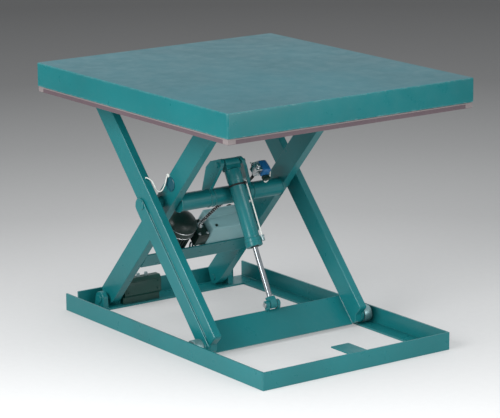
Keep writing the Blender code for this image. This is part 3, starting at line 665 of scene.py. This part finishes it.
def inner_round_parts():
    """Smooth torque tube with its welds, and the cylinder's top pin."""
    low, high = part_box("torque_tube")
    centre = [(a + b) / 2 for a, b in zip(low, high)]
    radius = (high[2] - low[2]) / 2
    reach = high[1]
    profile = [(0.0, -reach + 0.0012), (radius - 0.005, -reach + 0.0012), (radius - 0.003, -reach),
               (radius, -reach), (radius, reach), (radius - 0.003, reach),
               (radius - 0.005, reach - 0.0012), (0.0, reach - 0.0012)]
    made = lathe("torque_tube_smooth", profile, WORLD, "inner_legs", PAINTED,
                 centre=centre, sides=72)
    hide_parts("torque_tube")
    bm = bmesh.new()
    for sign in (-1, 1):
        ring_bead_bmesh(bm, centre, radius + 0.0008, sign * (reach - 0.002), 0.0032)
        ring_bead_bmesh(bm, centre, radius + 0.0006, sign * 0.0865, 0.0026)
        ring_bead_bmesh(bm, centre, radius + 0.0006, sign * 0.1085, 0.0026)
    piece("torque_tube_welds", from_bmesh(bm), WORLD, "inner_legs", PAINTED)
    low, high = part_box("cylinder_top_pin")
    profile = [(0.0, -0.0718), (0.0100, -0.0718), (0.0108, -0.0708),
               (0.0108, 0.0708), (0.0100, 0.0718), (0.0, 0.0718)]
    made = lathe("cylinder_top_pin_smooth", profile, WORLD, "inner_legs", PAINTED,
                 centre=(TOP_EYE.x, 0, TOP_EYE.z), sides=40)
    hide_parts("cylinder_top_pin")


# ---------------------------------------------------------------- cylinder

def cylinder_detail():
    """Smooth barrel, gland, rod and side line, with the wiper, strap and fittings."""
    barrel = [(0.0, 0.0310), (0.0325, 0.0310), (0.0339, 0.0325), (0.0339, 0.0785), (0.0328, 0.0812),
              (0.0315, 0.0830), (0.0314, 0.3230), (0.0325, 0.3240), (0.0325, 0.3285), (0.0314, 0.3310),
              (0.0262, 0.3310), (0.0262, 0.0520), (0.0, 0.0520)]
    made = lathe("cylinder_barrel_smooth", barrel, CYLINDER, "cylinder", PAINTED,
                 axis="X", sides=64)
    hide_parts("cylinder_barrel")
    gland = [(0.0118, 0.3314), (0.0336, 0.3314), (0.0349, 0.3326), (0.0349, 0.3440), (0.0336, 0.3450),
             (0.0336, 0.3470), (0.0349, 0.3480), (0.0349, 0.3632), (0.0334, 0.3649), (0.0190, 0.3649),
             (0.0180, 0.3640), (0.0118, 0.3640)]
    made = lathe("cylinder_gland_smooth", gland, CYLINDER, "cylinder", PAINTED,
                 axis="X", sides=64, closed=True)
    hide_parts("cylinder_gland")
    wiper = [(0.0116, 0.3640), (0.0172, 0.3640), (0.0168, 0.3668), (0.0130, 0.3682), (0.0116, 0.3676)]
    lathe("rod_wiper", wiper, CYLINDER, "cylinder", RUBBER, axis="X", closed=True)
    piston = CYLINDER_LENGTH - 0.3435
    rod_tip = CYLINDER_LENGTH - 0.0303
    rod = [(0.0, piston), (0.0243, piston), (0.0243, piston + 0.0115), (0.0112, piston + 0.0115),
           (0.0112, rod_tip), (0.0, rod_tip)]
    made = lathe("cylinder_rod_smooth", rod, CYLINDER, "ram", CHROME, axis="X", sides=48)
    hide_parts("cylinder_rod")
    bm = bmesh.new()
    strap = [(0.0317, 0.0950), (0.0332, 0.0953), (0.0332, 0.1027), (0.0317, 0.1030)]
    lathe_bmesh(bm, strap, axis="X", sides=64, closed=True)
    slab_bmesh(bm, (0.0935, 0.0200, 0.0235), (0.1045, 0.0310, 0.0325), 0.0015, 2)
    piece("line_strap", from_bmesh(bm), CYLINDER, "cylinder", RUBBER)
    bm = bmesh.new()
    hex_bmesh(bm, (0.3300, 0.0300, 0.0290), 0.014, 0.011, "X")
    lathe_bmesh(bm, [(0.0, 0.328), (0.0075, 0.328), (0.0075, 0.352), (0.0, 0.352)],
                (0, 0.0300, 0.0290), "X", 24)
    hex_bmesh(bm, (0.0800, 0.0280, 0.0205), 0.013, 0.010, "X")
    piece("line_fittings", from_bmesh(bm), CYLINDER, "cylinder", BLOCK)
    run = [(0.088, 0.0325, 0.0268), (0.130, 0.0322, 0.0272), (0.200, 0.0316, 0.0278),
           (0.330, 0.0305, 0.0290)]
    made = tube("side_line_smooth", run, 0.0030, CYLINDER, "cylinder", WHITE, sides=16)
    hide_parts("cylinder_side_line")


# ---------------------------------------------------------------- power unit

def around_x_bmesh(bm, centre, count, low, high, edge, segments=2):
    """Adds a box to bm as many times as count says, evenly round a line along X through centre."""
    for k in range(count):
        part = bmesh.new()
        slab_bmesh(part, low, high, edge, segments)
        mesh = bpy.data.meshes.new("part")
        part.to_mesh(mesh)
        part.free()
        mesh.transform(Matrix.Translation(centre) @ Matrix.Rotation(2 * math.pi * k / count, 4, "X"))
        bm.from_mesh(mesh)
        bpy.data.meshes.remove(mesh)


def motor_detail():
    """Finned motor with a domed, slotted fan cowl and a terminal box."""
    y, z = -0.0860, 0.0260
    low, high = 0.2695, 0.456
    axis = (0, y, z)
    bm = bmesh.new()
    body = [(0.0, low), (0.062, low), (0.0655, low + 0.003), (0.0655, low + 0.016), (0.056, low + 0.019),
            (0.056, high - 0.056), (0.064, high - 0.054), (0.0678, high - 0.050), (0.0678, high - 0.016),
            (0.0655, high - 0.006), (0.056, high + 0.006), (0.042, high + 0.0135), (0.024, high + 0.0185),
            (0.0, high + 0.0200)]
    lathe_bmesh(bm, body, axis, "X", 72)
    around_x_bmesh(bm, axis, 28, (low + 0.020, 0.052, -0.0014), (high - 0.057, 0.0642, 0.0014), 0.0)
    slab_bmesh(bm, (low + 0.050, y - 0.026, z + 0.0500), (low + 0.108, y + 0.026, z + 0.0790), 0.004, 2)
    made = piece("pump_motor_detail", from_bmesh(bm), INNER, "inner_legs", BLACK)
    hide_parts("pump_motor")
    bm = bmesh.new()
    around_x_bmesh(bm, axis, 24, (high + 0.0100, -0.0008, 0.0340), (high + 0.0106, 0.0008, 0.0430),
                   0.0002, 1)
    radius = 0.0678
    for rim in (high - 0.048, high - 0.017):
        lathe_bmesh(bm, [(radius, rim), (radius + 0.0009, rim + 0.0006), (radius + 0.0009, rim + 0.0024),
                         (radius, rim + 0.0030)], axis, "X", 72, closed=True)
    piece("motor_cowl_trim", from_bmesh(bm), INNER, "inner_legs", STEEL)


def reservoir_detail():
    """Oil reservoir with its caps and seams, and the pump block with its bolts and pipes."""
    low, high = (0.3000, 0.040, -0.0407), (0.446, 0.246, 0.070)
    made = slab("oil_reservoir_smooth", low, high, 0.009, INNER, "inner_legs", TANK)
    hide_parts("oil_reservoir")
    bm = bmesh.new()
    lathe_bmesh(bm, [(0.0, 0.0), (0.017, 0.0), (0.017, 0.004), (0.0145, 0.006), (0.0145, 0.016),
                     (0.0125, 0.018), (0.0, 0.018)],
                (high[0] - 0.034, high[1] - 0.048, high[2] - 0.001), "Z", 40)
    lathe_bmesh(bm, [(0.0, 0.0), (0.0065, 0.0), (0.0065, 0.004), (0.0, 0.004)],
                (high[0] - 0.0005, low[1] + 0.024, low[2] + 0.018), "X", 6)
    piece("reservoir_caps", from_bmesh(bm), INNER, "inner_legs", BLACK)
    bm = bmesh.new()
    slab_bmesh(bm, (high[0] - 0.0006, low[1] + 0.012, low[2] + 0.060),
               (high[0] + 0.0022, high[1] - 0.012, low[2] + 0.066), 0.0018, 3)
    seam_low, seam_high = high[2] - 0.0155, high[2] - 0.0115
    slab_bmesh(bm, (high[0] - 0.0006, low[1] + 0.004, seam_low),
               (high[0] + 0.0016, high[1] - 0.004, seam_high), 0.0012, 2)
    slab_bmesh(bm, (low[0] + 0.004, low[1] - 0.0014, seam_low),
               (high[0] - 0.004, low[1] + 0.0006, seam_high), 0.0008, 2)
    piece("reservoir_seams", from_bmesh(bm), INNER, "inner_legs", TANK)
    bm = bmesh.new()
    pump_face = 0.4098
    for y in (-0.010, 0.0300):
        for z in (-0.028, 0.038):
            hex_bmesh(bm, (pump_face, y, z), 0.010, 0.006, "X")
    hex_bmesh(bm, (pump_face, 0.0130, 0.0150), 0.020, 0.010, "X")
    piece("pump_bolts", from_bmesh(bm), INNER, "inner_legs", STEEL)
    bm = bmesh.new()
    slab_bmesh(bm, (0.3440, -0.0180, -0.0400), (0.4020, 0.0395, 0.0500), 0.003, 2)
    slab_bmesh(bm, (0.4005, -0.0165, -0.0385), (0.4100, 0.0380, 0.0485), 0.002, 2)
    lathe_bmesh(bm, [(0.0, 0.0), (0.020, 0.0), (0.020, 0.052), (0.0, 0.052)],
                (0.372, -0.0200, 0.012), "Y", 36)
    made = piece("pump_block_detail", from_bmesh(bm), INNER, "inner_legs", BLACK)
    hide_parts("pump_block")
    bm = bmesh.new()
    for shift in (0.0, 0.014, 0.028):
        bend = [(0.3460, -0.0100 + shift, -0.0180), (0.3300, -0.0130 + shift, -0.0120),
                (0.3140, -0.0130 + shift, -0.0160), (0.3000, -0.0110 + shift, -0.0280),
                (0.2960, -0.0090 + shift, -0.0408)]
        tube_bmesh(bm, smooth_run(bend, 6), 0.0040, 14)
    piece("pump_pipes", from_bmesh(bm), INNER, "inner_legs", TANK)


def valve_detail():
    """Fittings on the valve block, the solenoid coil and its connector."""
    bm = bmesh.new()
    hex_bmesh(bm, (0.814, 0.1015, -0.0022), 0.017, 0.011, "Z")
    hex_bmesh(bm, (0.8337, 0.1015, -0.0220), 0.015, 0.010, "X")
    lathe_bmesh(bm, [(0.0, 0.782), (0.0092, 0.782), (0.0092, 0.7938), (0.0, 0.7938)],
                (0, 0.1040, -0.0220), "X", 24)
    lathe_bmesh(bm, [(0.0, 0.0), (0.0125, 0.0), (0.0125, 0.006), (0.0085, 0.0075), (0.0, 0.0075)],
                (0.814, 0.1578, -0.0220), "Y", 6)
    piece("valve_fittings", from_bmesh(bm), INNER, "inner_legs", STEEL)
    low, high = (0.7905, 0.1168, -0.0520), (0.8375, 0.1580, 0.0080)
    made = slab("solenoid_coil_smooth", low, high, 0.011, INNER, "inner_legs", BLUE)
    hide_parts("solenoid_coil")
    bm = bmesh.new()
    slab_bmesh(bm, (0.7900, 0.1215, -0.0700), (0.8080, 0.1530, -0.0505), 0.003, 2)
    lathe_bmesh(bm, [(0.0, 0.0), (0.008, 0.0), (0.008, 0.010), (0.0058, 0.013), (0.0, 0.013)],
                (0.7900, 0.137, -0.0600), "X", 24)
    piece("coil_connector", from_bmesh(bm), INNER, "inner_legs", BLACK)


def coil_cable():
    """White lead from the coil's plug, looping past the coil and back over the valve block."""
    run = smooth_run([(0.7860, 0.1370, -0.0600), (0.7780, 0.1380, -0.0620), (0.7700, 0.1500, -0.0610),
                      (0.7740, 0.1680, -0.0520), (0.7900, 0.1760, -0.0360), (0.8080, 0.1740, -0.0160),
                      (0.8160, 0.1640, 0.0060), (0.8150, 0.1480, 0.0160), (0.8100, 0.1300, 0.0170),
                      (0.8080, 0.1120, 0.0160), (0.8100, 0.0960, 0.0180)], 6)
    lead = tube("coil_cable", run, 0.0030, INNER, "inner_legs", WHITE, sides=14)


# ---------------------------------------------------------------- legs

def leg_detail():
    """Weld beads along the front cross plate, the rod ears and the stiffener plates."""
    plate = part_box("front_cross_plate")
    bm = bmesh.new()
    tilt = math.tan(math.radians(1.73))
    for sign in (-1, 1):
        y = sign * (plate[1][1] + 0.0001)
        bead_bmesh(bm, (0.560, y, -0.0035), (0.693, y, -0.0035 + tilt * 0.135), 0.0030)
        ear = ROD_PIN - CENTRE
        along = ear.x * math.cos(ANGLE) - ear.z * math.sin(ANGLE)
        for inner in (0.0183, 0.0327):
            bead_bmesh(bm, (0.560, sign * inner, -0.0030), (along + 0.024, sign * inner, -0.0026),
                       0.0018)
    piece("cross_plate_welds", from_bmesh(bm), OUTER, "outer_legs", PAINTED)
    bm = bmesh.new()
    for sign in (-1, 1):
        face = sign * 0.3828
        leg_depth = 0.0925
        rise = 0.024 + leg_depth / 2 - 0.56 * leg_depth
        bead_bmesh(bm, (0.050, face, rise + tilt * 0.05 + 0.0006),
                   (0.640, face, rise + tilt * 0.64 + 0.0006), 0.0016)
    piece("stiffener_welds", from_bmesh(bm), OUTER, "outer_legs", PAINTED)


def leg_cable():
    """White cable from the near outer leg to the near inner leg."""
    cos, sin = math.cos(ANGLE), math.sin(ANGLE)

    def on_outer(along, normal, y):
        """World point for a place on the outer legs, square to them by the normal."""
        return (CENTRE.x + along * cos + normal * sin, y, CENTRE.z - along * sin + normal * cos)

    points = [on_outer(-0.085, 0.0725, -0.3660), on_outer(-0.079, 0.0765, -0.3610),
              on_outer(-0.064, 0.0768, -0.3490), (-0.1975, -0.3420, 0.6230), (-0.1950, -0.3370, 0.6080),
              (-0.1880, -0.3300, 0.5980), (-0.1790, -0.3210, 0.6010), (-0.1715, -0.3130, 0.6170),
              (-0.1665, -0.3070, 0.6390), (-0.1640, -0.3040, 0.6560), (-0.1640, -0.3010, 0.6630)]
    run = [on_outer(-0.085, 0.0688, -0.3660)] + smooth_run(points, 6) + [(-0.1640, -0.2961, 0.6635)]
    made = tube("leg_cable_smooth", run, 0.0028, WORLD, None, WHITE, sides=14)
    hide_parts("leg_cable")
    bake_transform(made)
    leg_face = -0.2957
    lathe("leg_grommet", [(0.0030, 0.0), (0.0085, 0.0), (0.0095, -0.0012), (0.0085, -0.0032),
                          (0.0050, -0.0036), (0.0030, -0.0030)],
          WORLD, "inner_legs", WHITE, centre=(-0.1640, leg_face, 0.6635), sides=32,
          closed=True)
    lathe("leg_cover_plate", [(0.0, -0.0004), (0.0300, -0.0004), (0.0300, -0.0030), (0.0285, -0.0042),
                              (0.0245, -0.0042), (0.0235, -0.0024), (0.0, -0.0024)],
          WORLD, "inner_legs", GROMMET, centre=(-0.1480, leg_face, 0.6310))


def hose():
    """Hydraulic hose from the pump to the valve block, with its ferrule and spring guard."""
    points = [(0.4180, 0.0130, 0.0150), (0.4300, 0.0150, 0.0165), (0.5100, 0.0600, 0.0250),
              (0.5800, 0.1150, 0.0240), (0.6600, 0.1370, 0.0170), (0.7200, 0.1330, 0.0020),
              (0.7600, 0.1120, -0.0170), (0.7840, 0.1040, -0.0220)]
    run = [(0.4105, 0.0130, 0.0150)] + smooth_run(points, 10) + [(0.7935, 0.1040, -0.0220)]
    made = tube("hydraulic_hose_smooth", run, 0.0065, INNER, "inner_legs", RUBBER, sides=18)
    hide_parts("hydraulic_hose")
    bm = bmesh.new()
    lathe_bmesh(bm, [(0.0, 0.4195), (0.0088, 0.4195), (0.0092, 0.4230), (0.0092, 0.4330),
                     (0.0078, 0.4345), (0.0, 0.4345)], (0, 0.0142, 0.0158), "X", 28)
    piece("hose_ferrule", from_bmesh(bm), INNER, "inner_legs", STEEL)
    bm = bmesh.new()
    coil = []
    turns, steps = 26, 12
    radius = 0.0082
    up = Vector((0, 0, 1))
    first_point, last_point = 8, 34
    centre_run = [Vector(point) for point in run[first_point:last_point]]
    for i in range(turns * steps):
        share = i / (turns * steps) * (len(centre_run) - 1)
        k = int(share)
        following = centre_run[min(k + 1, len(centre_run) - 1)]
        base = centre_run[k].lerp(following, share - k)
        ahead = (following - centre_run[k]).normalized()
        first = (up - ahead * up.dot(ahead)).normalized()
        second = ahead.cross(first)
        angle = 2 * math.pi * i / steps
        coil.append(tuple(base + radius * (first * math.cos(angle) + second * math.sin(angle))))
    tube_bmesh(bm, coil, 0.0011, 6)
    piece("hose_spring_guard", from_bmesh(bm), INNER, "inner_legs", STEEL)


# ---------------------------------------------------------------- stage

LIT_POINT = Vector((0.0, 0.0, 0.5))
# centre of the painted pool of light on the floor
LIGHT_POOL_CENTRE = (2.04, -1.45, 0.0)


def add_light(name, place, energy, size):
    """A white area lamp that points at the middle of the table."""
    light = bpy.data.lights.new(name, "AREA")
    light.energy = energy
    light.shape = "RECTANGLE"
    light.size, light.size_y = size
    obj = bpy.data.objects.new(name, light)
    bpy.context.scene.collection.objects.link(obj)
    obj.location = place
    obj.rotation_euler = (LIT_POINT - Vector(place)).to_track_quat("-Z", "Y").to_euler()


def stage():
    """The floor with a painted pool of light, pale near the table and greyer further off, and a faint glow
    of its own that lifts the shade under the table; the world's light and three lamps.
    """
    size = 60.0
    fade = 14.0
    bm = bmesh.new()
    bmesh.ops.create_grid(bm, x_segments=8, y_segments=8, size=size)
    mesh = bpy.data.meshes.new("studio_floor")
    bm.to_mesh(mesh)
    bm.free()
    floor = bpy.data.objects.new("studio_floor", mesh)
    bpy.context.scene.collection.objects.link(floor)
    floor.location = (0, 0, -0.0005)
    graph = Graph("floor_light_pool")
    centre = graph.tree.nodes.new("ShaderNodeVectorMath")
    centre.operation = "DISTANCE"
    graph.link(graph.place, centre.inputs[0])
    centre.inputs[1].default_value = LIGHT_POOL_CENTRE
    reach = graph.maths("DIVIDE", centre.outputs["Value"], fade)
    # the floor darkens with distance from the pale spot: a painted pool of light
    tones = ((0.8, 0.98), (1.6, 0.86), (2.5, 0.70), (3.4, 0.58), (4.6, 0.42), (6.2, 0.30), (8.2, 0.19),
             (11.3, 0.125))
    stops = [(distance / fade, (value, value, value, 1.0)) for distance, value in tones]
    tone = graph.ramp(reach, stops)
    grain = graph.spread(graph.noise(30.0, 3.0), 0.985, 1.0)
    both = graph.mix(1.0, tone, grain, "MULTIPLY")
    # the floor glows a little by itself, painted light that lifts the shade under the table, so its own
    # colour is darkened to keep the tones
    dark = graph.mix(1.0, both, (0.62, 0.62, 0.62, 1.0), "MULTIPLY")
    graph.link(dark, graph.shader.inputs["Base Color"])
    graph.link(both, graph.shader.inputs["Emission Color"])
    graph.set("Emission Strength", 0.40)
    graph.set("Roughness", 0.9)
    graph.set("Specular IOR Level", 0.1)
    mesh.materials.append(graph.material)
    world = bpy.data.worlds.new("studio")
    world.use_nodes = True
    background = world.node_tree.nodes["Background"]
    background.inputs["Color"].default_value = (0.86, 0.90, 0.93, 1.0)
    background.inputs["Strength"].default_value = 0.62
    bpy.context.scene.world = world
    add_light("key", (1.0, -6.0, 3.6), 330.0, (4.0, 3.0))
    add_light("fill", (6.0, 1.5, 2.2), 120.0, (3.0, 3.0))
    add_light("top", (-0.5, 0.3, 5.5), 130.0, (5.0, 5.0))


def camera():
    """The photograph's camera, solved from the corners of the platform and the base."""
    focal_px, width_px = 2522.12, 500
    azimuth, elevation, roll = 0.9543039, 0.2344338, -0.0090688
    data = bpy.data.cameras.new("camera")
    data.sensor_width = 36.0
    data.lens = focal_px / width_px * data.sensor_width
    data.clip_start = 0.1
    data.clip_end = 200.0
    obj = bpy.data.objects.new("camera", data)
    bpy.context.scene.collection.objects.link(obj)
    obj.location = (8.2020, -5.8180, 2.9138)
    turn = Matrix.Rotation(azimuth, 4, "Z") @ Matrix.Rotation(math.pi / 2 - elevation, 4, "X")
    turn = turn @ Matrix.Rotation(roll, 4, "Z")
    obj.rotation_euler = turn.to_euler()
    bpy.context.scene.camera = obj
    bpy.context.scene.view_settings.view_transform = "Standard"


paint_nodes()
camera()
stage()
platform_shell()
platform_detail()
guard_detail()
base_detail()
for end in ("left", "right"):
    wheel("base_wheel_" + end + "_smooth", "base_roller_" + end, "base_wheel_" + end)
    wheel("deck_wheel_" + end + "_smooth", "deck_roller_" + end, "deck_wheel_" + end)
outer_round_parts()
inner_round_parts()
cylinder_detail()
motor_detail()
reservoir_detail()
valve_detail()
coil_cable()
leg_detail()
leg_cable()
hose()

bpy.context.view_layer.update()
